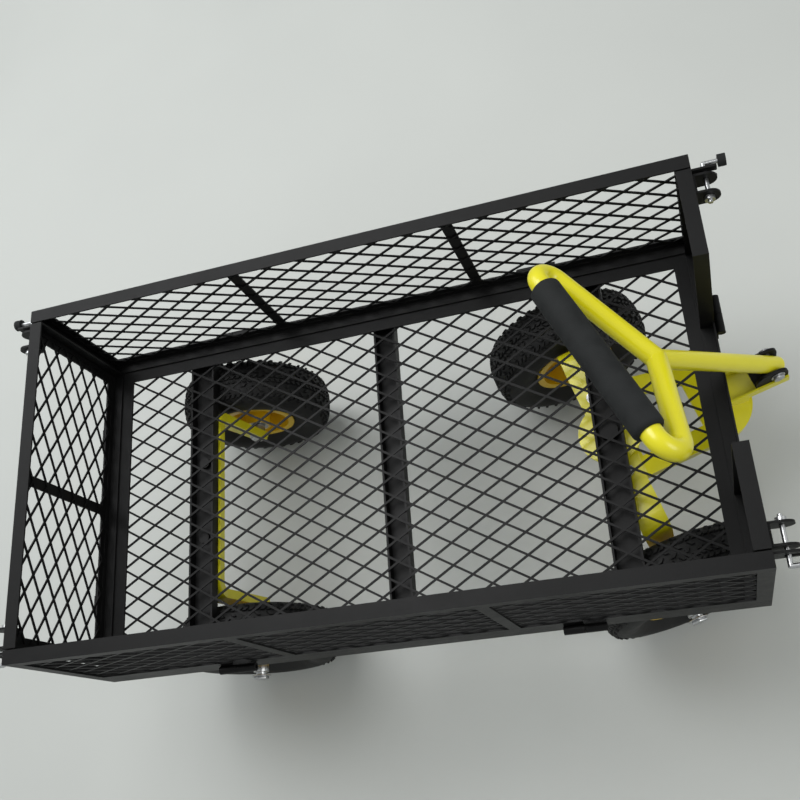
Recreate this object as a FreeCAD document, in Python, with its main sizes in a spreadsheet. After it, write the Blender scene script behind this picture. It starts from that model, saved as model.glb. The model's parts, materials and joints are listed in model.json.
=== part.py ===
import FreeCAD, Part
import math
import os
import re
import Sketcher

# Garden cart: a mesh deck on four pneumatic wheels, with fold-down mesh sides and a steered pull handle.
# +X is forward, +Y is the left side, +Z is up. The origin is on the floor, under the middle of the
# cart's overall box. Lengths are in millimetres and angles in degrees.

sizes = {
    # deck
    "deck_length": 965, "deck_width": 520, "deck_top": 280, "deck_angle": 38, "deck_steel": 3,
    "mesh_steel": 2, "mesh_strand": 3.2, "diamond_long": 53, "diamond_short": 32, "mesh_gap": 1,
    "beam_width": 40, "beam_depth": 18, "beam_steel": 3, "deck_overhang": 165.5, "middle_width": 34,
    "beam_spacing": "=deck_length / 2 - deck_overhang",
    # side panels and end gates
    "side_height": 219, "panel_angle": 19, "panel_steel": 2.5, "seat_gap": 0.4, "gate_gap": 2,
    "divider_width": 16, "notch_half": 118,
    # lift-off hinges
    "knuckle_radius": 6, "knuckle_length": 28, "knuckle_gap": 0.6, "hinge_pin": 3, "hinge_play": 0.05,
    "hinge_out": 7, "hinge_rise": 2, "leaf_steel": 3, "leaf_height": 18,
    "gate_hinge_at": 136, "side_hinge_at": 250,
    # corner latches
    "ear_reach": 30, "ear_height": 28, "ear_steel": 3, "ear_spacing": 25, "ear_inset": 3,
    "pin_radius": 3, "pin_play": 0.1, "pin_out": 16, "pin_drop": 24, "pin_tail": 9, "pin_side": 12,
    "leg_length": 18, "knob_radius": 8, "knob_length": 10, "nut_radius": 6.5, "nut_length": 5,
    "tab_reach": 31, "tab_steel": 3, "slot_above": 4, "slot_below": 8,
    # wheels
    "tyre_radius": 127, "tyre_width": 84, "tyre_bore": 56, "shoulder_width": 62, "shoulder_drop": 9,
    "rim_steel": 3, "rim_width": 56, "rim_lip": 63, "hub_radius": 21, "hub_length": 74,
    "bearing_radius": 17.5, "bearing_width": 11, "shaft_radius": 8, "shaft_play": 0.05, "rim_dish": 14,
    "track_half": 203, "axle_nut_radius": 12.5, "axle_nut_length": 9,
    # axle brackets
    "arch_half": 152, "arch_steel": 5, "arch_width": 40, "arch_bend": 24, "arch_lip": 14, "arch_foot": 17,
    "rear_bar_x": "=4 - beam_spacing", "rear_axle_x": "=28 - beam_spacing", "bolt_radius": 5, "bolt_head": 8.5, "bolt_head_length": 6,
    "rear_bolt_at": 61, "turn_plate_radius": 44, "turn_plate_steel": 5, "turn_gap": 0.4,
    "kingpin_radius": 8, "kingpin_head": 13, "kingpin_head_length": 9,
    # steering, in a frame turned by steer_rest about the kingpin
    "steer_rest": 16, "tongue_bolt_at": 60, "tongue_rail": 30, "tongue_steel": 4, "tongue_depth": 14,
    "tongue_slope": 15, "tongue_length": 125, "tongue_nose": 64, "tongue_root": 76, "tongue_inset": 6,
    "tongue_hole": 104, "pivot_reach": 240, "pivot_drop": 44.4, "clevis_half": 14.6, "clevis_steel": 4,
    "clevis_nose": 15, "clevis_back": 30, "pivot_radius": 5, "pivot_play": 0.08, "arm_steel": 3,
    "arm_rise": 12, "arm_gap": 0.4, "boss_length": 33, "boss_depth": 17,
    # handle, in a frame whose axis rises from the pivot along the stem
    "stem_radius": 12.7, "tube_wall": 2, "stem_lean": 37.8, "stem_join": 250, "stem_tail": 12,
    "loop_radius": 13.5, "loop_bend": 20, "loop_twist": 10.5, "grip_at": 364, "grip_length": 238,
    "grip_radius": 20, "grip_play": 0.2, "grip_end": 7,
}

doc = FreeCAD.newDocument("garden_cart")
sheet = doc.addObject("Spreadsheet::Sheet", "sizes")
for row, (word, value) in enumerate(sizes.items(), 1):
    sheet.set(f"A{row}", word)
    sheet.set(f"B{row}", str(value))
    sheet.setAlias(f"B{row}", word)
doc.recompute()

made = {}


def bound(rule):
    """An expression written with the sheet's words, as FreeCAD reads it."""
    return re.sub(r"[a-z_]\w*", lambda m: "sizes." + m[0] if m[0] in sizes else m[0], str(rule))


def bind(item, rules):
    for prop, rule in rules.items():
        item.setExpression(prop, bound(rule))
    return item


def new(kind, name="piece"):
    return doc.addObject(kind, name)


def box(x0, x1, y0, y1, z0, z1):
    """A block between two limits on each axis."""
    return bind(new("Part::Box", "block"), {
        "Length": f"({x1}) - ({x0})", "Width": f"({y1}) - ({y0})", "Height": f"({z1}) - ({z0})",
        "Placement.Base.x": x0, "Placement.Base.y": y0, "Placement.Base.z": z0})


spin_to = {"x": FreeCAD.Rotation(FreeCAD.Vector(0, 1, 0), 90),
           "y": FreeCAD.Rotation(FreeCAD.Vector(1, 0, 0), -90),
           "z": FreeCAD.Rotation()}


def rod(along, radius, length, x="0", y="0", z="0", sweep=None, spin=None):
    """A cylinder from (x, y, z) in the positive direction of one axis."""
    item = new("Part::Cylinder", "round")
    item.Placement.Rotation = spin_to[along] if spin is None else spin
    if sweep:
        item.Angle = sweep
    return bind(item, {"Radius": radius, "Height": length, "Placement.Base.x": x,
                       "Placement.Base.y": y, "Placement.Base.z": z})


def ball(radius, x, y, z):
    return bind(new("Part::Sphere", "ball"), {"Radius": radius, "Placement.Base.x": x,
                                              "Placement.Base.y": y, "Placement.Base.z": z})


def fuse(items):
    item = new("Part::MultiFuse", "joined")
    item.Shapes = items
    item.Refine = True
    return item


def cut(base, tools):
    item = new("Part::Cut", "cut")
    item.Base = base
    item.Tool = tools[0] if len(tools) == 1 else fuse(tools)
    item.Refine = True
    return item


def group(items):
    item = new("Part::Compound", "group")
    item.Links = items
    return item


probe = new("Part::Vertex", "probe")


def number(rule):
    """What an expression comes to now, which is where an outline's corner is first drawn."""
    probe.setExpression("X", bound(rule))
    probe.recompute()
    return probe.X.Value


def outline(solid, points, plane):
    """A closed straight-sided sketch on one of the body's own planes, each corner held by the sheet."""
    sketch = solid.newObject("Sketcher::SketchObject", "outline")
    face = [f for f in solid.Origin.OriginFeatures if f.Role == plane][0]
    sketch.AttachmentSupport = [(face, "")]
    sketch.MapMode = "FlatFace"
    spots = [(number(across), number(up)) for across, up in points]
    count = len(points)
    for n in range(count):
        start, end = FreeCAD.Vector(*spots[n]), FreeCAD.Vector(*spots[(n + 1) % count])
        sketch.addGeometry(Part.LineSegment(start, end), False)
    for n in range(count):
        sketch.addConstraint(Sketcher.Constraint("Coincident", n, 2, (n + 1) % count, 1))
    for n, rules in enumerate(points):
        for kind, rule, value in zip(("DistanceX", "DistanceY"), rules, spots[n]):
            index = sketch.addConstraint(Sketcher.Constraint(kind, n, 1, value))
            sketch.setExpression(f"Constraints[{index}]", bound(rule))
    return sketch


def prism(points, thickness, plane="XY_Plane", **place):
    """An outline padded by a thickness; a later Placement puts it where it belongs."""
    solid = new("PartDesign::Body", "prism")
    sketch = outline(solid, points, plane)
    pad = solid.newObject("PartDesign::Pad", "pad")
    pad.Profile = sketch
    pad.setExpression("Length", bound(thickness))
    return bind(solid, {f"Placement.Base.{axis}": rule for axis, rule in place.items()})


def turned(points):
    """A solid of revolution about Z: points are (radius, height) pairs."""
    solid = new("PartDesign::Body", "turned")
    sketch = outline(solid, points, "XZ_Plane")
    spun = solid.newObject("PartDesign::Revolution", "spun")
    spun.Profile = sketch
    spun.ReferenceAxis = (sketch, ["V_Axis"])
    spun.Angle = 360
    return solid


half_length = "deck_length / 2"
half_width = "deck_width / 2"
gate_span = "(deck_width - 2 * panel_angle - 2 * gate_gap)"
panel_foot = "deck_top + seat_gap"
panel_head = "deck_top + side_height"
mesh_top = "deck_top - deck_steel"
beam_top = "deck_top - deck_steel - mesh_steel"
beam_foot = "deck_top - deck_steel - mesh_steel - beam_depth"
latch_z = "deck_top + side_height - pin_drop"
pivot_z = "deck_top - pivot_drop"
rear_reach = "deck_length / 2 + pin_out + leg_length + knob_length"
arm_half = "(clevis_half + clevis_steel + arm_gap + arm_steel)"
nose_reach = f"((pivot_reach + clevis_nose) * cos(steer_rest) + {arm_half} * sin(steer_rest))"
deck_x = f"({rear_reach} - beam_spacing - {nose_reach}) / 2"


def read(word):
    return float(sheet.get(word))


def moved(items, x="0", y="0", z="0", about=None, angle=None):
    """A group put somewhere: turned about an axis by a rule, or by a fixed number, then moved."""
    item = group(items)
    if about is not None:
        item.Placement.Rotation = FreeCAD.Rotation(about, number(angle))
        item.setExpression("Placement.Rotation.Angle", bound(angle))
    return bind(item, {"Placement.Base.x": x, "Placement.Base.y": y, "Placement.Base.z": z})


upright = FreeCAD.Vector(0, 0, 1)


def keep(label, items, turn="0", x="0"):
    """Name a sub-part and put it in the cart's frame: turned about Z, then moved along X."""
    about = upright if turn != "0" else None
    item = moved(items, x=f"({x}) + ({deck_x})", about=about, angle=turn)
    item.Label = label
    made[label] = item
    return item


def sided(side, low, high):
    """The limits of something on the +Y side, or of its mirror image on the -Y side."""
    return (low, high) if side > 0 else (f"-({high})", f"-({low})")


def clipped(corners, axis, limit, sign):
    """A convex outline cut off where one coordinate passes a limit."""
    kept = []
    for here, after in zip(corners, corners[1:] + corners[:1]):
        gap, next_gap = (sign * (limit - p[axis]) for p in (here, after))
        if gap >= 0:
            kept.append(here)
        if gap * next_gap < 0:
            share = gap / (gap - next_gap)
            kept.append(tuple(a + share * (b - a) for a, b in zip(here, after)))
    return kept


def lattice(low_u, high_u, low_v, high_v, rim, put, push):
    """Flattened expanded metal: a sheet with rows of diamonds, those at its edges cut off by a rim."""
    long_way, short_way = read("diamond_long"), read("diamond_short")
    half_u, half_v = long_way / 2, short_way / 2
    shrink = 1 - read("mesh_strand") / 2 * math.hypot(half_u, half_v) / (half_u * half_v)
    middle_u, middle_v = (low_u + high_u) / 2, (low_v + high_v) / 2
    wires = []
    rows = int((high_v - low_v) / half_v / 2) + 2
    columns = int((high_u - low_u) / long_way / 2) + 2
    for row in range(-rows, rows + 1):
        for column in range(-columns, columns + 1):
            u = middle_u + (column + row % 2 / 2) * long_way
            v = middle_v + row * half_v
            shape = [(u + half_u * shrink, v), (u, v + half_v * shrink),
                     (u - half_u * shrink, v), (u, v - half_v * shrink)]
            for axis, limit, sign in ((0, low_u + rim, -1), (0, high_u - rim, 1),
                                      (1, low_v + rim, -1), (1, high_v - rim, 1)):
                shape = clipped(shape, axis, limit, sign) if shape else shape
            if len(shape) > 2:
                wire = Part.makePolygon([put(*p) for p in shape + shape[:1]])
                if Part.Face(wire).Area > short_way:
                    wires.append(wire)
    edge = [(low_u, low_v), (high_u, low_v), (high_u, high_v), (low_u, high_v), (low_u, low_v)]
    face = Part.makeFace([Part.makePolygon([put(*p) for p in edge])] + wires, "Part::FaceMakerBullseye")
    item = new("Part::Feature", "lattice")
    item.Shape = face.extrude(push)
    return item


# Deck: a welded frame of angle bar, three cross beams and a sheet of expanded metal

def deck():
    shell = box(f"-{half_length}", half_length, f"-{half_width}", half_width,
                "deck_top - deck_angle", "deck_top")
    under = box(f"-{half_length} + deck_steel", f"{half_length} - deck_steel",
                f"-{half_width} + deck_steel", f"{half_width} - deck_steel",
                "deck_top - deck_angle - 1", "deck_top - deck_steel")
    window = box(f"-{half_length} + deck_angle", f"{half_length} - deck_angle",
                 f"-{half_width} + deck_angle", f"{half_width} - deck_angle",
                 "deck_top - deck_angle - 1", "deck_top + 1")
    keep("deck_frame", [cut(shell, [under, window])])
    reach_x = read("deck_length") / 2 - read("deck_steel") - read("mesh_gap")
    reach_y = read("deck_width") / 2 - read("deck_steel") - read("mesh_gap")
    low = read("deck_top") - read("deck_steel") - read("mesh_steel")
    keep("deck_mesh", [lattice(-reach_x, reach_x, -reach_y, reach_y, 2 * read("mesh_strand"),
                               lambda u, v: FreeCAD.Vector(u, v, low),
                               FreeCAD.Vector(0, 0, read("mesh_steel")))])
    side = f"{half_width} - deck_steel"
    for name, at, width in (("front", "beam_spacing", "beam_width"), ("middle", "0", "middle_width"),
                            ("rear", "-beam_spacing", "beam_width")):
        bar = box(f"{at} - {width} / 2", f"{at} + {width} / 2", f"-({side})", side, beam_foot, beam_top)
        trough = box(f"{at} - {width} / 2 + beam_steel", f"{at} + {width} / 2 - beam_steel",
                     f"-({side}) - 1", f"{side} + 1", f"{beam_foot} + beam_steel", f"{beam_top} + 1")
        holes = [trough]
        if name == "front":
            holes.append(rod("z", "kingpin_radius + pivot_play", "beam_depth", at, "0",
                             f"{beam_foot} - 1"))
        if name == "rear":
            holes += [rod("z", "bolt_radius + pin_play", "beam_depth", at, y, f"{beam_foot} - 1")
                      for y in ("rear_bolt_at", "-rear_bolt_at")]
        keep(f"cross_beam_{name}", [cut(bar, holes)])


# Axle brackets: bar bent into an arch, with a stiffening lip along its front edge

ring_spins = {1: FreeCAD.Rotation(FreeCAD.Vector(1, 1, 1), 120),
              -1: FreeCAD.Rotation(FreeCAD.Vector(1, 0, 1), 180)}


def arch(bar_x, foot_x, top, bolt_holes, lip_at="arch_width - arch_steel"):
    pieces = []
    for wide, inset, thick in (("arch_width", "0", "arch_steel"), ("arch_steel", lip_at, "arch_lip")):
        low_x = f"{bar_x} - arch_width / 2 + {inset}"
        pieces.append(box(low_x, f"{low_x} + {wide}", "-(arch_half - arch_bend)", "arch_half - arch_bend",
                          f"{top} - {thick}", top))
        for side in (1, -1):
            corner_y = f"{side} * (arch_half - arch_bend)"
            outer, inner = (rod("x", r, wide, low_x, corner_y, f"{top} - arch_bend", 90, ring_spins[side])
                            for r in ("arch_bend", f"arch_bend - {thick}"))
            pieces.append(cut(outer, [inner]))
            narrow = "2 * arch_foot / arch_width"
            low_foot = f"{foot_x} - arch_foot + ({inset}) * {narrow}"
            slant = [(low_x, f"{top} - arch_bend"), (f"{low_x} + {wide}", f"{top} - arch_bend"),
                     (f"{low_foot} + {wide} * {narrow}", "tyre_radius"), (low_foot, "tyre_radius")]
            leg_y = "arch_half" if side > 0 else f"-arch_half + {thick}"
            pieces.append(prism(slant, thick, "XZ_Plane", y=leg_y))
    feet = [rod("y", "arch_foot", "arch_steel", foot_x, *ends) for ends in
            (("arch_half - arch_steel", "tyre_radius"), ("-arch_half", "tyre_radius"))]
    holes = [rod("y", "shaft_radius + shaft_play", "2 * arch_half + 2", foot_x, "-arch_half - 1",
                 "tyre_radius")]
    holes += [rod("z", radius, "2 * arch_steel", x, y, f"{top} - arch_steel * 1.5")
              for x, y, radius in bolt_holes]
    return cut(fuse(pieces + feet), holes)


def bolt(radius, head, top, grip, x, y, nut="bolt_head_length"):
    """A bolt standing on its nut: its head sits at a height, and the nut is below what it clamps."""
    head_item = rod("z", head, nut, x, y, top)
    shank = rod("z", radius, f"{grip} + {nut}", x, y, f"{top} - ({grip}) - {nut}")
    ring = cut(rod("z", head, nut, x, y, f"{top} - ({grip}) - {nut}"),
               [rod("z", f"{radius} + 0.02", f"{nut} + 2", x, y, f"{top} - ({grip}) - {nut} - 1")])
    return [fuse([head_item, shank]), ring]


def stub_axles(x):
    """A shaft through each foot of an arch, with a head and spacer inside the wheel and a nut outside."""
    items = []
    for side in (1, -1):
        def along(radius, low, high):
            start, end = sided(side, low, high)
            return rod("y", radius, f"({end}) - ({start})", x, start, "tyre_radius")
        hub_in, hub_out = "track_half - hub_length / 2", "track_half + hub_length / 2"
        head = along("axle_nut_radius", "arch_half - arch_steel - bolt_head_length",
                     "arch_half - arch_steel")
        spacer = along("shaft_radius + 4", "arch_half", f"{hub_in} - turn_gap")
        shaft = along("shaft_radius", "arch_half - arch_steel - 1",
                      f"{hub_out} + turn_gap + axle_nut_length + 2")
        nut = along("axle_nut_radius", f"{hub_out} + turn_gap", f"{hub_out} + turn_gap + axle_nut_length")
        bore = along("shaft_radius + 0.02", f"{hub_out} - 1", f"{hub_out} + 2 * axle_nut_length")
        items += [fuse([head, spacer, shaft]), cut(nut, [bore])]
    return items


def running_gear():
    rear_holes = [("-beam_spacing", y, "bolt_radius + pin_play") for y in ("rear_bolt_at", "-rear_bolt_at")]
    keep("rear_axle_bracket", [arch("rear_bar_x", "rear_axle_x", beam_foot, rear_holes)])
    keep("rear_bracket_bolts", bolt("bolt_radius", "bolt_head", f"{beam_foot} + beam_steel",
                                    "beam_steel + arch_steel", "-beam_spacing", "rear_bolt_at")
         + bolt("bolt_radius", "bolt_head", f"{beam_foot} + beam_steel", "beam_steel + arch_steel",
                "-beam_spacing", "-rear_bolt_at"))
    keep("rear_axle_stubs", stub_axles("rear_axle_x"))
    plate = rod("z", "turn_plate_radius", "turn_plate_steel", "0", "0", f"{beam_foot} - turn_plate_steel")
    eye = rod("z", "kingpin_radius + pivot_play", "turn_plate_steel + 2", "0", "0",
              f"{beam_foot} - turn_plate_steel - 1")
    keep("turntable_plate", [cut(plate, [eye])], x="beam_spacing")
    keep("kingpin", bolt("kingpin_radius", "kingpin_head", f"{beam_foot} + beam_steel",
                         "beam_steel + turn_plate_steel + 2 * turn_gap + arch_steel", "0", "0",
                         "kingpin_head_length"), x="beam_spacing")


# Panels: drawn as if at the front, with X outwards and Y along the panel, then turned to their side

def panel(name, turn, reach, span, dividers, hinge_at, notch=False):
    foot, head = panel_foot, panel_head
    end = f"({span}) / 2"
    shell = box(f"{reach} - panel_angle", reach, f"-{end}", end, foot, head)
    cuts = []
    bays = [(f"-{end}", end)]
    if notch:
        bays = [(f"-{end}", "-notch_half"), ("notch_half", end)]
        cuts += [box(f"{reach} - panel_angle - 1", f"{reach} + 1", "-notch_half", "notch_half",
                     f"{foot} + panel_angle", f"{head} + 1"),
                 box(f"{reach} - panel_angle - 1", f"{reach} - panel_steel", "-notch_half - 1",
                     "notch_half + 1", f"{foot} + panel_steel", f"{foot} + panel_angle + 1")]
    for low, high in bays:
        cuts += [box(f"{reach} - panel_angle - 1", f"{reach} - panel_steel", f"{low} + panel_steel",
                     f"{high} - panel_steel", f"{foot} + panel_steel", f"{head} - panel_steel"),
                 box(f"{reach} - panel_angle - 1", f"{reach} + 1", f"{low} + panel_angle",
                     f"{high} - panel_angle", f"{foot} + panel_angle", f"{head} - panel_angle")]
    frame = cut(shell, cuts)
    strips = [box(f"{reach} - panel_steel", reach, f"{at} - divider_width / 2", f"{at} + divider_width / 2",
                  f"{foot} + panel_angle", f"{head} - panel_angle") for at in dividers]
    keep(f"{name}_frame", [fuse([frame] + strips) if strips else frame], turn)

    plane = number(f"{reach} - panel_steel - mesh_steel")
    sheets = []
    for low, high in bays:
        inset = "panel_steel + mesh_gap"
        sheets.append(lattice(number(f"{low} + {inset}"), number(f"{high} - ({inset})"),
                              number(f"{foot} + {inset}"), number(f"{head} - ({inset})"),
                              2 * read("mesh_strand"), lambda u, v: FreeCAD.Vector(plane, u, v),
                              FreeCAD.Vector(read("mesh_steel"), 0, 0)))
    keep(f"{name}_mesh", sheets, turn)

    axis_x, axis_z = f"{reach} + hinge_out", "deck_top + hinge_rise"
    pins, sleeves = [], []
    for at in (f"-{hinge_at}", hinge_at):
        low = f"{at} - knuckle_gap / 2 - knuckle_length"
        high = f"{at} + knuckle_gap / 2"
        pins.append(fuse([rod("y", "knuckle_radius", "knuckle_length", axis_x, low, axis_z),
                          rod("y", "hinge_pin", "2 * knuckle_length - 2", axis_x, low, axis_z),
                          box(reach, f"{reach} + leaf_steel", low, f"{low} + knuckle_length",
                              f"{axis_z} - leaf_height", axis_z)]))
        barrel = fuse([rod("y", "knuckle_radius", "knuckle_length", axis_x, high, axis_z),
                       box(reach, f"{reach} + leaf_steel", high, f"{high} + knuckle_length",
                           axis_z, f"{axis_z} + leaf_height")])
        sleeves.append(cut(barrel, [rod("y", "hinge_pin + hinge_play", "knuckle_length + 2", axis_x,
                                        f"{high} - 1", axis_z)]))
    keep(f"hinge_pins_{name}", pins, turn)
    keep(f"hinge_sleeves_{name}", sleeves, turn)


def panels():
    panel("gate_front", "0", half_length, gate_span, [], "gate_hinge_at", notch=True)
    panel("gate_rear", "180", half_length, gate_span, ["0"], "gate_hinge_at")
    thirds = ["-deck_length / 6", "deck_length / 6"]
    panel("side_left", "90", half_width, "deck_length", thirds, "side_hinge_at")
    panel("side_right", "270", half_width, "deck_length", thirds, "side_hinge_at")


# Corner latches: a turning pin through two ears on the gate and a forked tab on the side panel

def latches():
    outer_ear = f"({gate_span} / 2 - ear_inset)"
    inner_ear = f"({outer_ear} - ear_spacing)"
    tab_face = "(deck_width / 2 - panel_angle)"
    leg_y = f"({tab_face} + tab_steel + pin_side)"
    tail_y = f"({inner_ear} - ear_steel - pin_tail)"
    nut_y = f"({inner_ear} - ear_steel - turn_gap)"
    for end_name, turn in (("front", "0"), ("rear", "180")):
        brackets = []
        for side in (1, -1):
            pieces = [box(half_length, f"{half_length} + ear_steel",
                          *sided(side, f"{inner_ear} - ear_steel", outer_ear),
                          f"{latch_z} - ear_height / 2", f"{latch_z} + ear_height / 2")]
            for ear in (inner_ear, outer_ear):
                low, high = sided(side, f"{ear} - ear_steel", ear)
                nose_x = f"{half_length} + ear_reach - ear_height / 2"
                pieces += [box(half_length, nose_x, low, high, f"{latch_z} - ear_height / 2",
                               f"{latch_z} + ear_height / 2"),
                           rod("y", "ear_height / 2", "ear_steel", nose_x, low, latch_z)]
            start, end = sided(side, tail_y, leg_y)
            bore = rod("y", "pin_radius + pin_play", f"({end}) - ({start})",
                       f"{half_length} + pin_out", start, latch_z)
            brackets.append(cut(fuse(pieces), [bore]))

            # seen from outside the rear gate, the cart's left and right change places
            hand = "left" if (side > 0) == (end_name == "front") else "right"
            shaft = rod("y", "pin_radius", f"({end}) - ({start})", f"{half_length} + pin_out", start,
                        latch_z)
            bend = ball("pin_radius", f"{half_length} + pin_out", f"{side} * {leg_y}", latch_z)
            leg = rod("x", "pin_radius", "leg_length + knob_length - 2", f"{half_length} + pin_out",
                      f"{side} * {leg_y}", latch_z)
            nut_low, nut_high = sided(side, f"{nut_y} - nut_length", nut_y)
            nut = cut(rod("y", "nut_radius", "nut_length", f"{half_length} + pin_out", nut_low, latch_z),
                      [rod("y", "pin_radius + 0.02", "nut_length + 2", f"{half_length} + pin_out",
                           f"{nut_low} - 1", latch_z)])
            keep(f"latch_pin_{end_name}_{hand}", [fuse([shaft, bend, leg]), nut], turn)
            knob_x = f"{half_length} + pin_out + leg_length"
            knob = rod("x", "knob_radius", "knob_length", knob_x, f"{side} * {leg_y}", latch_z)
            socket = rod("x", "pin_radius + 0.02", "knob_length - 1", f"{knob_x} - 1",
                         f"{side} * {leg_y}", latch_z)
            keep(f"latch_knob_{end_name}_{hand}", [cut(knob, [socket])], turn)
        keep(f"latch_ears_gate_{end_name}", brackets, turn)
    for hand, side in (("left", 1), ("right", -1)):
        tabs = []
        for end in (1, -1):
            low_x, high_x = sided(end, half_length, f"{half_length} + tab_reach")
            low_y, high_y = sided(side, tab_face, f"{tab_face} + tab_steel")
            blank = box(low_x, high_x, low_y, high_y, f"{latch_z} - ear_height / 2",
                        f"{latch_z} + ear_height / 2")
            slot_x = sided(end, f"{half_length} + pin_out - pin_radius - slot_above / 4",
                           f"{half_length} + tab_reach + 1")
            slot = box(*slot_x, f"{low_y} - 1", f"{high_y} + 1", f"{latch_z} - slot_below",
                       f"{latch_z} + slot_above")
            tabs.append(cut(blank, [slot]))
        keep(f"latch_tabs_side_{hand}", tabs)


# Wheels: each is turned about its own axle, with the dish facing outwards

def mirrored_section(points):
    """An outline given on one side of the middle plane, closed by its mirror image."""
    return points + [(radius, f"-({height})") for radius, height in reversed(points)]


def wheel(name, x, side, turn="0", pivot_x="0"):
    half, shoulder, bead = "tyre_width / 2", "shoulder_width / 2", "(rim_width / 2 - 1)"
    outer = [("tyre_bore", bead), ("rim_lip + 3", bead), ("tyre_radius - 37", half),
             ("tyre_radius - 18", f"{half} - 1"), ("tyre_radius - shoulder_drop", shoulder),
             ("tyre_radius", f"{shoulder} / 2")]
    inner = [("tyre_radius - 8", f"{shoulder} / 2 - 3"), ("tyre_radius - 15", f"{shoulder} - 4"),
             ("tyre_radius - 22", f"{half} - 8"), ("tyre_radius - 37", f"{half} - 6"),
             ("rim_lip + 4", f"{bead} - 6"), ("tyre_bore", f"{bead} - 6")]
    section = outer + [(r, f"-({h})") for r, h in reversed(outer)]
    section += [(r, f"-({h})") for r, h in reversed(inner)] + inner
    lip_in, lip_out = f"{bead} + 0.3", f"{bead} + 0.3 + rim_steel"
    well, wall = "tyre_bore - 0.3 - rim_steel", "tyre_bore - 0.3"
    half_hub = "hub_length / 2"
    rim = [("bearing_radius", f"-{half_hub}"), ("hub_radius", f"-{half_hub}"),
           ("hub_radius", "-rim_steel"), (well, "rim_dish - rim_steel - 6"), (well, f"-({lip_out})"),
           ("rim_lip", f"-({lip_out})"), ("rim_lip", f"-({lip_in})"), (wall, f"-({lip_in})"),
           (wall, lip_in), ("rim_lip", lip_in), ("rim_lip", lip_out), (well, lip_out),
           (well, "rim_dish - 6"), ("hub_radius", "0"), ("hub_radius", half_hub),
           ("bearing_radius", half_hub)]
    race = [("shaft_radius + shaft_play", "0"), ("bearing_radius", "0"), ("bearing_radius", "bearing_width"),
            ("shaft_radius + shaft_play", "bearing_width")]
    races = [moved([turned(race)], z=f"-{half_hub}"), moved([turned(race)], z=f"{half_hub} - bearing_width")]
    facing = FreeCAD.Vector(-side, 0, 0)
    for part, items in (("tyre", [turned(section)]), ("rim", [turned(rim)]), ("bearings", races)):
        set_up = moved(items, x=x, y=f"{side} * track_half", z="tyre_radius", about=facing, angle="90")
        keep(f"{part}_{name}", [set_up], turn, pivot_x)


def wheels():
    wheel("rear_left", "rear_axle_x", 1)
    wheel("rear_right", "rear_axle_x", -1)
    wheel("front_left", "0", 1, "steer_rest", "beam_spacing")
    wheel("front_right", "0", -1, "steer_rest", "beam_spacing")


# Steering: yoke, tongue and clevis, drawn about the kingpin with the tongue straight ahead

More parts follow.
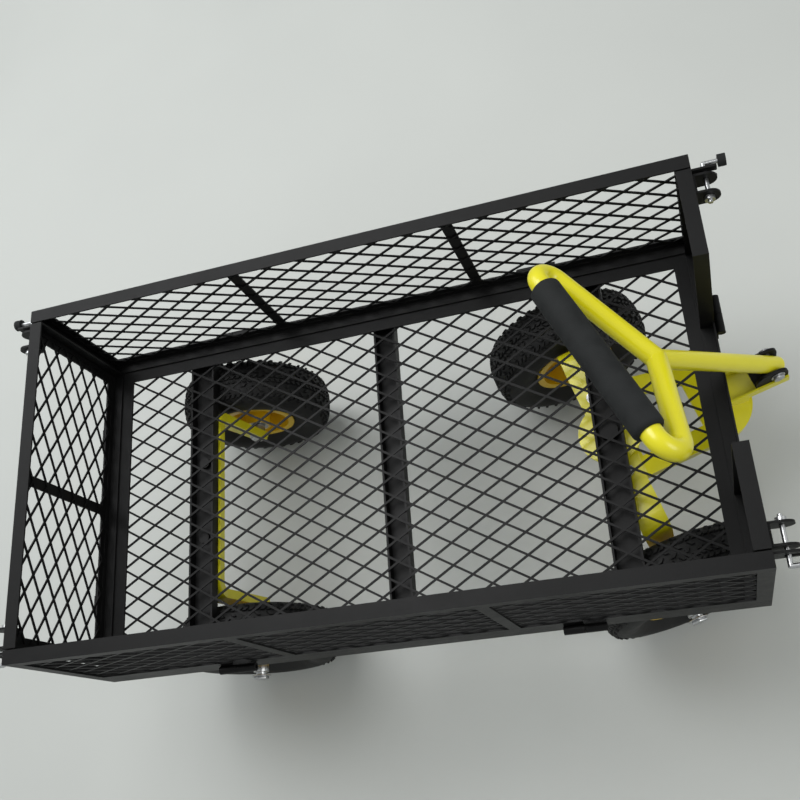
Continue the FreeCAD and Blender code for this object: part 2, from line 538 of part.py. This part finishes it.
def steering():
    yoke_top = f"({beam_foot} - turn_plate_steel - turn_gap)"
    yoke_foot = f"({yoke_top} - arch_steel)"
    holes = [("0", "0", "kingpin_radius + pivot_play")]
    holes += [("0", y, "bolt_radius + pin_play") for y in ("tongue_bolt_at", "-tongue_bolt_at")]
    keep("steering_yoke", [arch("0", "0", yoke_top, holes, "0")], "steer_rest", "beam_spacing")
    keep("front_axle_stubs", stub_axles("0"), "steer_rest", "beam_spacing")

    root_x = "arch_width / 2 + 2"
    sides = ("tongue_root", "tongue_nose")

    def blade(low_x, high_x, inset):
        wide, narrow = (f"{word} - ({inset})" for word in sides)
        return [(low_x, f"-({wide})"), (high_x, f"-({narrow})"), (high_x, narrow), (low_x, wide)]
    deep = "tongue_depth"
    outer = fuse([prism(blade("0", "tongue_length", "0"), deep),
                  rod("z", "tongue_nose", deep, "tongue_length")])
    hollow = "tongue_depth - tongue_steel"
    pocket = fuse([prism(blade("-1", "tongue_length", "tongue_steel"), hollow),
                   rod("z", "tongue_nose - tongue_steel", hollow, "tongue_length")])
    gap = prism(blade("tongue_inset", "tongue_hole", "tongue_rail"), "tongue_depth + 2")
    inclined = moved([cut(outer, [pocket, moved([gap], z="-1")])],
                     x=f"{root_x} - tongue_depth * sin(tongue_slope)",
                     z=f"{yoke_foot} - tongue_depth * cos(tongue_slope)",
                     about=FreeCAD.Vector(0, 1, 0), angle="tongue_slope")
    root = box("arch_steel + arm_gap - arch_width / 2", f"{root_x} + 1", "-tongue_root", "tongue_root",
               f"{yoke_foot} - tongue_steel", yoke_foot)
    clear = rod("z", "kingpin_head + 6", "3 * kingpin_head_length", "0", "0",
                f"{yoke_foot} - 2 * kingpin_head_length")
    arm_top = f"({pivot_z} - stem_tail - clevis_steel - 6)"
    clevis_x = "(pivot_reach + clevis_nose)"
    arm_back = f"({root_x} + (tongue_length + tongue_nose / 3) * cos(tongue_slope))"
    arm = cut(box(arm_back, clevis_x, f"-{arm_half}", arm_half, f"{arm_top} - arm_steel",
                  f"{arm_top} + arm_rise"),
              [box(f"{arm_back} - 1", f"{clevis_x} + 1", f"-({arm_half} - arm_steel)",
                   f"{arm_half} - arm_steel", arm_top, f"{arm_top} + arm_rise + 1")])
    boss = box(arm_back, f"{arm_back} + boss_length", f"-{arm_half}", arm_half, f"{arm_top} - boss_depth",
               f"{arm_top} - arm_steel / 2")
    bolts_out = [rod("z", "bolt_radius + pin_play", "3 * tongue_steel", "0", y,
                     f"{yoke_foot} - 2 * tongue_steel") for y in ("tongue_bolt_at", "-tongue_bolt_at")]
    keep("tongue", [cut(fuse([inclined, root, arm, boss]), [clear] + bolts_out)], "steer_rest", "beam_spacing")
    keep("tongue_bolts", [piece for y in ("tongue_bolt_at", "-tongue_bolt_at")
                          for piece in bolt("bolt_radius", "bolt_head", yoke_top,
                                            "arch_steel + tongue_steel", "0", y, "4")],
         "steer_rest", "beam_spacing")

    base = box("pivot_reach - clevis_back", clevis_x, "-(clevis_half + clevis_steel)",
               "clevis_half + clevis_steel", arm_top, f"{arm_top} + clevis_steel")
    ears = []
    for side in (1, -1):
        low, high = sided(side, "clevis_half", "clevis_half + clevis_steel")
        back_x = "pivot_reach - clevis_back + clevis_nose"
        ears += [box("pivot_reach - clevis_back", clevis_x, low, high, arm_top, pivot_z),
                 box(back_x, "pivot_reach", low, high, arm_top, f"{pivot_z} + clevis_nose"),
                 rod("y", "clevis_nose", "clevis_steel", "pivot_reach", low, pivot_z),
                 rod("y", "clevis_nose", "clevis_steel", back_x, low, pivot_z)]
    span = "2 * (clevis_half + clevis_steel)"
    eye = rod("y", "pivot_radius + pin_play", f"{span} + 2", "pivot_reach",
              "-(clevis_half + clevis_steel) - 1", pivot_z)
    keep("handle_clevis", [cut(fuse([base] + ears), [eye])], "steer_rest", "beam_spacing")
    head_y = "clevis_half + clevis_steel"
    pivot = fuse([rod("y", "pivot_radius", f"{span} + 5", "pivot_reach", f"-({head_y})", pivot_z),
                  rod("y", "bolt_head", "5", "pivot_reach", f"-({head_y}) - 5", pivot_z)])
    nut = cut(rod("y", "bolt_head", "5", "pivot_reach", head_y, pivot_z),
              [rod("y", "pivot_radius + 0.02", "7", "pivot_reach", f"{head_y} - 1", pivot_z)])
    keep("handle_pivot_bolt", [pivot, nut], "steer_rest", "beam_spacing")


def loop_half(side):
    """Half of the handle's closed loop: a straight branch from the stem, a round corner, half the bar."""
    radius, bend = read("loop_radius"), read("loop_bend")
    grip_z, join_z = read("grip_at"), read("stem_join")
    corner_y = read("grip_length") / 2 + read("grip_end")
    rise, run = grip_z - bend - join_z, corner_y
    far = math.hypot(rise, run)
    heading = math.atan2(rise, run) - math.asin(bend / far)
    length = math.sqrt(far ** 2 - bend ** 2)
    middle = heading / 2
    root = FreeCAD.Vector(0, 0, join_z)
    touch = FreeCAD.Vector(0, side * length * math.cos(heading), join_z + length * math.sin(heading))
    crown = FreeCAD.Vector(0, side * (corner_y + bend * math.cos(middle)),
                           grip_z - bend + bend * math.sin(middle))
    top = FreeCAD.Vector(0, side * corner_y, grip_z)
    path = Part.Wire([Part.LineSegment(root, touch).toShape(), Part.Arc(touch, crown, top).toShape(),
                      Part.LineSegment(top, FreeCAD.Vector(0, 0, grip_z)).toShape()])
    ring = Part.Wire([Part.makeCircle(radius, root, touch - root)])
    item = new("Part::Feature", "loop")
    item.Shape = path.makePipeShell([ring], True, True)
    return item


def handle():
    lean_axis = FreeCAD.Vector(0, -1, 0)

    def place(items):
        return [moved(items, x="pivot_reach", z=pivot_z, about=lean_axis, angle="stem_lean")]
    stem = rod("z", "stem_radius", "stem_join + stem_tail", "0", "0", "-stem_tail")
    bore = rod("z", "stem_radius - tube_wall", "stem_join + stem_tail - stem_radius", "0", "0",
               "-stem_tail - 1")
    eye = rod("y", "pivot_radius + pivot_play", "2 * stem_radius + 2", "0", "-stem_radius - 1", "0")
    joint = ball("loop_radius", "0", "0", "stem_join")
    loop = moved([fuse([loop_half(1), loop_half(-1), joint])], about=upright, angle="loop_twist")
    keep("handle_tube", place([fuse([cut(stem, [bore, eye]), loop])]), "steer_rest",
         "beam_spacing")
    foam = rod("y", "grip_radius", "grip_length", "0", "-grip_length / 2", "grip_at")
    core = rod("y", "loop_radius + grip_play", "grip_length + 2", "0", "-grip_length / 2 - 1", "grip_at")
    sleeve = moved([cut(foam, [core])], about=upright, angle="loop_twist")
    keep("handle_grip", place([sleeve]), "steer_rest", "beam_spacing")


deck()
running_gear()
panels()
latches()
wheels()
steering()
handle()
doc.recompute()

failed = [item.Name for item in doc.Objects if {"Invalid", "Error"} & set(item.State)]
failed += [label for label, item in made.items() if item.Shape.isNull() or not item.Shape.isValid()]
if failed:
    raise RuntimeError("these did not build: " + ", ".join(failed))

os.makedirs("parts", exist_ok=True)
for label, item in made.items():
    item.Shape.exportStep(f"parts/{label}.step")
print(len(made), "sub-parts")
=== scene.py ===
import json
import math

import bmesh
import bpy
from mathutils import Matrix, Vector


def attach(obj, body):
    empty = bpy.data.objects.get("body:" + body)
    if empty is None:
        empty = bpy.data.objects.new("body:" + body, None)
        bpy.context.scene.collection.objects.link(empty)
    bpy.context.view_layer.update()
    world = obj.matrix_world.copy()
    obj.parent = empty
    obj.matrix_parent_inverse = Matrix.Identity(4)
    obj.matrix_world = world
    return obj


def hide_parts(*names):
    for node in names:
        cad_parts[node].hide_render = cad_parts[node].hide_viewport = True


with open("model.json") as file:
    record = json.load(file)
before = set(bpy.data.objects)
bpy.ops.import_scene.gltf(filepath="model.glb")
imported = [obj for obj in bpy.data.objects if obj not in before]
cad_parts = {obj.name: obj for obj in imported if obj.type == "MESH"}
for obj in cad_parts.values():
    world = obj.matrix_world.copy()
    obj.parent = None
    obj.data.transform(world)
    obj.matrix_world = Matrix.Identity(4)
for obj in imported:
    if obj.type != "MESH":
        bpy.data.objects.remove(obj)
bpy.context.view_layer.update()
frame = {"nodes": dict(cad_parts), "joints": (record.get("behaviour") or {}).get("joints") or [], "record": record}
joints = {joint["name"]: joint for joint in frame["joints"]}
print("frame loaded:", len(frame["nodes"]), "nodes")


# The view, the floor and the lights

view = {"place": (0.3968, -0.4585, 1.5854), "turn": (21.0086, 18.4546, -4.0221), "lens": 44.07, "sensor": 36}
floorLook = {"size": 14, "tint": (0.50, 0.515, 0.495), "shade": 0.93, "cloud": 1.6, "cloudRange": (0.30, 0.72),
             "rough": 0.55, "cloudRough": 0.2, "ripple": 7, "bump": 0.25, "relief": 0.004}
lamps = {
    "over": {"place": (-0.7, 0.9, 3.0), "aim": (0, 0, 0.2), "size": 2.2, "power": 60, "tint": (1, 1, 1)},
    "side": {"place": (2.3, -0.7, 1.9), "aim": (0.1, 0, 0.2), "size": 1.5, "power": 20, "tint": (1, 0.99, 0.97)},
    "back": {"place": (-2.0, 1.6, 2.2), "aim": (0, 0, 0.2), "size": 2.0, "power": 24, "tint": (0.96, 0.98, 1)},
}
roomGlow = {"tint": (0.86, 0.89, 0.88), "strength": 0.55}


def setCamera():
    camera = bpy.data.objects.new("camera", bpy.data.cameras.new("camera"))
    bpy.context.scene.collection.objects.link(camera)
    camera.data.lens = view["lens"]
    camera.data.sensor_width = view["sensor"]
    camera.location = view["place"]
    camera.rotation_euler = [math.radians(angle) for angle in view["turn"]]
    bpy.context.scene.camera = camera


def setLamps():
    bpy.context.scene.view_settings.view_transform = "Standard"
    for name, lamp in lamps.items():
        light = bpy.data.lights.new(name, "AREA")
        light.shape = "DISK"
        light.size = lamp["size"]
        light.energy = lamp["power"]
        light.color = lamp["tint"]
        holder = bpy.data.objects.new(name, light)
        bpy.context.scene.collection.objects.link(holder)
        holder.location = lamp["place"]
        aim = Vector(lamp["aim"]) - Vector(lamp["place"])
        holder.rotation_euler = aim.to_track_quat("-Z", "Y").to_euler()
    world = bpy.data.worlds.new("room")
    world.use_nodes = True
    glow = world.node_tree.nodes["Background"]
    glow.inputs["Color"].default_value = (*roomGlow["tint"], 1)
    glow.inputs["Strength"].default_value = roomGlow["strength"]
    bpy.context.scene.world = world


def setFloor(material):
    mesh = bmesh.new()
    bmesh.ops.create_grid(mesh, x_segments=2, y_segments=2, size=floorLook["size"] / 2)
    data = bpy.data.meshes.new("floor")
    mesh.to_mesh(data)
    mesh.free()
    floor = bpy.data.objects.new("floor", data)
    bpy.context.scene.collection.objects.link(floor)
    data.materials.append(material)


# Finishes. A Wire is one socket, and sums on it add Math nodes.

class Wire:
    def __init__(self, finish, socket):
        self.finish, self.socket = finish, socket

    def sum(self, how, first, second):
        return self.finish.node("ShaderNodeMath", {"operation": how}, {0: first, 1: second})

    def __add__(self, other):
        return self.sum("ADD", self, other)

    def __radd__(self, other):
        return self.sum("ADD", other, self)

    def __sub__(self, other):
        return self.sum("SUBTRACT", self, other)

    def __rsub__(self, other):
        return self.sum("SUBTRACT", other, self)

    def __mul__(self, other):
        return self.sum("MULTIPLY", self, other)

    def __rmul__(self, other):
        return self.sum("MULTIPLY", other, self)


class Finish:
    def __init__(self, name, **fixed):
        self.material = bpy.data.materials.new(name)
        self.material.use_nodes = True
        self.tree = self.material.node_tree
        self.shader = self.tree.nodes["Principled BSDF"]
        self.place = self.node("ShaderNodeTexCoord", {}, {}, "Object")
        for socket, value in fixed.items():
            self.shader.inputs[socket.replace("_", " ")].default_value = value

    def node(self, kind, settings, inputs, output=0):
        made = self.tree.nodes.new(kind)
        for name, value in settings.items():
            if name == "stops":
                for stop, (at, tone) in zip(made.color_ramp.elements, value):
                    stop.position, stop.color = at, (tone, tone, tone, 1)
            else:
                setattr(made, name, value)
        for name, value in inputs.items():
            if isinstance(value, Wire):
                self.tree.links.new(value.socket, made.inputs[name])
            else:
                made.inputs[name].default_value = value
        return Wire(self, made.outputs[output])

    def noise(self, perMetre, detail=2.0, rough=0.5):
        return self.node("ShaderNodeTexNoise", {}, {"Vector": self.place, "Scale": perMetre,
                                                    "Detail": detail, "Roughness": rough})

    def cells(self, perMetre):
        return self.node("ShaderNodeTexVoronoi", {}, {"Vector": self.place, "Scale": perMetre})

    def between(self, value, low, high):
        return self.node("ShaderNodeValToRGB", {"stops": ((low, 0), (high, 1))}, {0: value})

    def blend(self, mask, first, second):
        return self.node("ShaderNodeMix", {"data_type": "RGBA"}, {0: mask, 6: first, 7: second}, 2)

    def feed(self, socket, wire):
        self.tree.links.new(wire.socket, self.shader.inputs[socket])

    def bump(self, height, strength, distance):
        self.feed("Normal", self.node("ShaderNodeBump", {}, {"Height": height, "Strength": strength,
                                                             "Distance": distance}))


# Noise is counted per metre, shares run from 0 to 1, and relief is in metres.
blackLook = {"dust": 0.30, "rough": 0.42, "coat": 0.0, "shine": 0.16, "peel": 700, "bump": 0.25}
yellowLook = {"dust": 0.20, "rough": 0.27, "coat": 0.30, "shine": 0.5, "peel": 520, "bump": 0.22}
powder = {"drifts": 9, "driftShare": 0.7, "specks": 70, "speckShare": 0.3, "dustFrom": 0.42, "dustTo": 0.72,
          "grain": 240, "dustRough": 0.12, "grainRough": 0.08, "waves": 130, "waveShare": 0.4, "relief": 0.0004,
          "coatRough": 0.15}


def powderCoat(name, tint, dustTint, look):
    finish = Finish(name, Coat_Roughness=powder["coatRough"], Specular_IOR_Level=look["shine"])
    lying = (finish.noise(powder["drifts"], 4, 0.6) * powder["driftShare"]
             + finish.noise(powder["specks"], 3, 0.6) * powder["speckShare"])
    dust = finish.between(lying, powder["dustFrom"], powder["dustTo"])
    finish.feed("Base Color", finish.blend(dust * look["dust"], (*tint, 1), (*dustTint, 1)))
    finish.feed("Roughness", look["rough"] + dust * powder["dustRough"]
                + finish.noise(powder["grain"], 2) * powder["grainRough"])
    finish.shader.inputs["Coat Weight"].default_value = look["coat"]
    finish.bump(finish.noise(look["peel"], 1.5) + finish.noise(powder["waves"], 2) * powder["waveShare"],
                look["bump"], powder["relief"])
    return finish.material


zincLook = {"spangle": 420, "cloud": 60, "share": 0.6, "patchFrom": 0.25, "patchTo": 0.75, "shade": 0.72,
            "rough": 0.22, "patchRough": 0.16, "grain": 900, "bump": 0.2, "relief": 0.0002}


def zincPlate(name, tint):
    finish = Finish(name, Metallic=1.0)
    mottle = (finish.cells(zincLook["spangle"]) * zincLook["share"]
              + finish.noise(zincLook["cloud"], 3) * zincLook["share"])
    patch = finish.between(mottle, zincLook["patchFrom"], zincLook["patchTo"])
    darker = (*[tone * zincLook["shade"] for tone in tint], 1)
    finish.feed("Base Color", finish.blend(patch, (*tint, 1), darker))
    finish.feed("Roughness", zincLook["rough"] + patch * zincLook["patchRough"])
    finish.bump(finish.noise(zincLook["grain"], 2), zincLook["bump"], zincLook["relief"])
    return finish.material


rubberLook = {"clean": (0.0065, 0.0065, 0.007, 1), "dusty": (0.024, 0.024, 0.0235, 1), "shine": 0.25,
              "dust": 24, "dustFrom": 0.40, "dustTo": 0.74, "rough": 0.55, "dustRough": 0.25,
              "grain": 650, "waves": 90, "waveShare": 0.5, "bump": 0.35, "relief": 0.0005}
foamLook = {"new": (0.0100, 0.0110, 0.0112, 1), "worn": (0.019, 0.0205, 0.0208, 1), "shine": 0.2,
            "pores": 1300, "wear": 35, "wearFrom": 0.35, "wearTo": 0.75, "rough": 0.72, "wearRough": 0.18,
            "grain": 420, "grainShare": 0.6, "bump": 0.4, "relief": 0.0004}


def tyreRubber(name):
    finish = Finish(name, Specular_IOR_Level=rubberLook["shine"])
    dust = finish.between(finish.noise(rubberLook["dust"], 5, 0.65), rubberLook["dustFrom"], rubberLook["dustTo"])
    finish.feed("Base Color", finish.blend(dust, rubberLook["clean"], rubberLook["dusty"]))
    finish.feed("Roughness", rubberLook["rough"] + dust * rubberLook["dustRough"])
    grain = finish.noise(rubberLook["grain"], 3, 0.6)
    finish.bump(grain + finish.noise(rubberLook["waves"], 2) * rubberLook["waveShare"],
                rubberLook["bump"], rubberLook["relief"])
    return finish.material


def foamRubber(name):
    finish = Finish(name, Specular_IOR_Level=foamLook["shine"])
    pores = finish.cells(foamLook["pores"])
    worn = finish.between(finish.noise(foamLook["wear"], 4, 0.6), foamLook["wearFrom"], foamLook["wearTo"])
    finish.feed("Base Color", finish.blend(worn, foamLook["new"], foamLook["worn"]))
    finish.feed("Roughness", foamLook["rough"] + worn * foamLook["wearRough"])
    finish.bump(pores + finish.noise(foamLook["grain"], 3) * foamLook["grainShare"],
                foamLook["bump"], foamLook["relief"])
    return finish.material


def floorCloth(name):
    finish = Finish(name)
    cloud = finish.between(finish.noise(floorLook["cloud"], 3), *floorLook["cloudRange"])
    tone = floorLook["tint"]
    finish.feed("Base Color", finish.blend(cloud, (*[part * floorLook["shade"] for part in tone], 1), (*tone, 1)))
    finish.feed("Roughness", floorLook["rough"] + cloud * floorLook["cloudRough"])
    finish.bump(finish.noise(floorLook["ripple"], 3), floorLook["bump"], floorLook["relief"])
    return finish.material


finishes = {
    "black_coat": powderCoat("blackPowderCoat", (0.0035, 0.0035, 0.0037), (0.014, 0.014, 0.0135), blackLook),
    "yellow_coat": powderCoat("yellowPowderCoat", (0.66, 0.60, 0.004), (0.72, 0.68, 0.06), yellowLook),
    "rim_coat": powderCoat("rimPaint", (0.80, 0.52, 0.008), (0.70, 0.50, 0.05), yellowLook),
    "zinc": zincPlate("zincPlate", (0.62, 0.63, 0.64)),
    "tyre": tyreRubber("tyreRubber"),
    "foam": foamRubber("gripFoam"),
    "knob_rubber": foamRubber("knobRubber"),
}
nodeSlots = {part["node"]: part["material_slot"] for part in frame["record"]["subparts"]}
darkBolts = ("rear_bracket_bolts", "kingpin")         # these heads are painted over with the frame


def paintNodes():
    for name, piece in frame["nodes"].items():
        slot = "rim_coat" if name.startswith("rim") else nodeSlots[name]
        slot = "black_coat" if name in darkBolts else slot
        piece.data.materials.clear()
        piece.data.materials.append(finishes[slot])


# Helpers for new pieces. A finished piece rides on a body and stands for the CAD nodes it replaces.

weldDistance = 1e-6


def finishPiece(name, mesh, slot, body, replaced, smooth):
    bmesh.ops.remove_doubles(mesh, verts=mesh.verts, dist=weldDistance)
    bmesh.ops.recalc_face_normals(mesh, faces=mesh.faces)
    data = bpy.data.meshes.new(name)
    mesh.to_mesh(data)
    mesh.free()
    piece = bpy.data.objects.new(name, data)
    bpy.context.scene.collection.objects.link(piece)
    data.materials.append(finishes[slot])
    data.shade_smooth()
    data.set_sharp_from_angle(angle=math.radians(smooth))
    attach(piece, body)
    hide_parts(*replaced)


def spinRing(mesh, outline, steps):                   # a closed outline of radius and width, spun about Y
    ring = [mesh.verts.new((radius, width, 0)) for radius, width in outline]
    for near, far in zip(ring, ring[1:] + ring[:1]):
        mesh.edges.new((near, far))
    bmesh.ops.spin(mesh, geom=mesh.verts[:] + mesh.edges[:], cent=(0, 0, 0), axis=(0, 1, 0),
                   angle=math.tau, steps=steps, use_merge=True)


def fromAxle(point):
    return math.hypot(point.co.x, point.co.z)


def wheelPlace(name):                                 # a wheel's own axes: Y along its axle, outwards
    joint = joints[f"wheel_{name}_spin"]
    axle = Vector(joint["axis"])
    outwards = 1 if name.endswith("left") else -1
    turn = math.atan2(-axle.x * outwards, axle.y * outwards)
    return Matrix.Translation(joint["pos_m"]) @ Matrix.Rotation(turn, 4, "Z")


# Tyres: a spun carcass whose crown faces are shaped into tread blocks

tyre = {
    "profile": ((0.0565, 0.024), (0.0640, 0.0275), (0.0715, 0.0315), (0.0800, 0.0385), (0.0890, 0.0415),
                (0.0975, 0.0415), (0.1050, 0.0400), (0.1120, 0.0365), (0.1175, 0.0310), (0.1208, 0.0235),
                (0.1226, 0.0155), (0.1234, 0.0075), (0.1236, 0.0)),
    "steps": 84, "zigzag": 0.055, "treadFrom": 0.1110, "treadMargin": 0.001, "column": 0.0078,
    "solidColumns": (0, 3), "groove": 0.0011, "blockTaper": 0.0005, "blockHeight": 0.0036, "outside": 0.1268,
    "sharpFrom": 38,
}


def tyrePiece(name):
    mesh = bmesh.new()
    half = list(tyre["profile"])
    spinRing(mesh, half + [(radius, -width) for radius, width in reversed(half[:-1])], tyre["steps"])
    for point in mesh.verts:                          # the grooves run across the crown in a zigzag
        if fromAxle(point) > tyre["treadFrom"] - tyre["treadMargin"]:
            column = round(abs(point.co.y) / tyre["column"])
            lean = tyre["zigzag"] * (0.5 if column % 2 else -0.5)
            point.co = Matrix.Rotation(lean, 3, "Y") @ point.co
    bmesh.ops.recalc_face_normals(mesh, faces=mesh.faces)
    crown = [face for face in mesh.faces if min(map(fromAxle, face.verts)) > tyre["treadFrom"]]
    blocks = []
    for face in crown:                                # every second face, and whole ribs in some columns
        middle = face.calc_center_median()
        column = int(abs(middle.y) / tyre["column"])
        turnStep = int((math.atan2(middle.z, middle.x) + math.pi) / math.tau * tyre["steps"])
        if (turnStep + column) % 2 == 0 or column in tyre["solidColumns"]:
            blocks.append(face)
    bmesh.ops.inset_individual(mesh, faces=blocks, thickness=tyre["groove"], depth=0.0, use_even_offset=True)
    bmesh.ops.inset_individual(mesh, faces=blocks, thickness=tyre["blockTaper"], depth=tyre["blockHeight"],
                               use_even_offset=True)
    for point in mesh.verts:                          # keep inside the moulded size
        radius = fromAxle(point)
        if radius > tyre["outside"]:
            point.co.x *= tyre["outside"] / radius
            point.co.z *= tyre["outside"] / radius
    bmesh.ops.transform(mesh, matrix=wheelPlace(name), verts=mesh.verts)
    finishPiece(f"tyreTread_{name}", mesh, "tyre", f"wheel_{name}", [f"tyre_{name}"], tyre["sharpFrom"])


# Grip: a foam sleeve, swollen a little and rounded at its ends

grip = {"radius": 0.0198, "bore": 0.0145, "length": 0.238, "at": 0.364, "swell": 0.00018, "round": 0.006,
        "lip": 0.001, "corner": 5, "segments": 48, "rings": 26, "sharpFrom": 50}
handleTurn = {"steer": 16, "lean": 37.8, "twist": 10.5}


def pivotPlace():                                     # the pivot bolt's own axes, Y along the bolt
    steer = Matrix.Rotation(math.radians(handleTurn["steer"]), 4, "Z")
    return Matrix.Translation(joints["handle_tilt"]["pos_m"]) @ steer


def handlePlace():                                    # the loop's own axes, Z up the stem
    lean = Matrix.Rotation(math.radians(-handleTurn["lean"]), 4, "Y")
    twist = Matrix.Rotation(math.radians(handleTurn["twist"]), 4, "Z")
    return pivotPlace() @ lean @ twist


def gripPiece():
    mesh = bmesh.new()
    half, bend = grip["length"] / 2, grip["round"]
    outline = [(grip["bore"], -half + grip["lip"]), (grip["radius"] - bend, -half)]
    for step in range(1, grip["corner"] + 1):
        angle = math.radians(90 * step / grip["corner"])
        outline.append((grip["radius"] - bend + bend * math.sin(angle), -half + bend - bend * math.cos(angle)))
    rounded = list(outline)
    for step in range(1, grip["rings"]):
        along = -half + bend + (grip["length"] - 2 * bend) * step / grip["rings"]
        wave = math.sin(math.pi * step / grip["rings"])
        outline.append((grip["radius"] + grip["swell"] * wave, along))
    outline += [(radius, -along) for radius, along in reversed(rounded)]
    spinRing(mesh, outline, grip["segments"])
    place = handlePlace() @ Matrix.Translation((0, 0, grip["at"]))
    bmesh.ops.transform(mesh, matrix=place, verts=mesh.verts)
    finishPiece("foamGrip", mesh, "foam", "handle", ["handle_grip"], grip["sharpFrom"])


# Fixings: hex heads, washers and nuts on round shanks, stacked along one axis

# Each entry is a shape, its radius, and where it starts and ends along the axis.
fixing = {
    "axle": (("hex", 0.0124, -0.0620, -0.0575), ("round", 0.0150, -0.0575, -0.0560),
             ("round", 0.0080, -0.0570, 0.0484), ("round", 0.0120, -0.0510, -0.0374),
             ("round", 0.0145, 0.0374, 0.0390), ("hex", 0.0124, 0.0390, 0.0464)),
    "pivot": (("hex", 0.0085, -0.0236, -0.0196), ("round", 0.0100, -0.0196, -0.0186),
              ("round", 0.0050, -0.0190, 0.0232), ("round", 0.0100, 0.0186, 0.0196),
              ("hex", 0.0085, 0.0196, 0.0236)),
    "edgeRound": 0.0007, "sides": {"hex": 6, "round": 32}, "sharpFrom": 30,
}


def addStack(mesh, stack, place):
    for kind, radius, start, end in fixing[stack]:
        settle = place @ Matrix.Translation((0, (start + end) / 2, 0)) @ Matrix.Rotation(math.pi / 2, 4, "X")
        made = bmesh.ops.create_cone(mesh, cap_ends=True, segments=fixing["sides"][kind], radius1=radius,
                                     radius2=radius, depth=end - start, matrix=settle)
        edges = list(dict.fromkeys(edge for point in made["verts"] for edge in point.link_edges))
        if kind == "round":                           # only the rims round over, not the lines along the side
            edges = [edge for edge in edges if any(len(face.verts) > 4 for face in edge.link_faces)]
        bmesh.ops.bevel(mesh, geom=edges, offset=fixing["edgeRound"], segments=2, profile=0.5,
                        affect="EDGES", material=-1)


def fixings():
    for end, body in (("front", "steering"), ("rear", "chassis")):
        mesh = bmesh.new()
        addStack(mesh, "axle", wheelPlace(f"{end}_left"))
        addStack(mesh, "axle", wheelPlace(f"{end}_right") @ Matrix.Rotation(math.pi, 4, "Z"))
        finishPiece(f"axleBolts_{end}", mesh, "zinc", body, [f"{end}_axle_stubs"], fixing["sharpFrom"])
    mesh = bmesh.new()
    addStack(mesh, "pivot", pivotPlace())
    finishPiece("pivotBolt", mesh, "zinc", "steering", ["handle_pivot_bolt"], fixing["sharpFrom"])


setCamera()
setLamps()
setFloor(floorCloth("floorCloth"))
print("camera, lights and floor set")

paintNodes()
print("frame pieces painted")

for corner in ("front_left", "front_right", "rear_left", "rear_right"):
    tyrePiece(corner)
print("tyres made")
gripPiece()
fixings()
print("grip and fixings made")
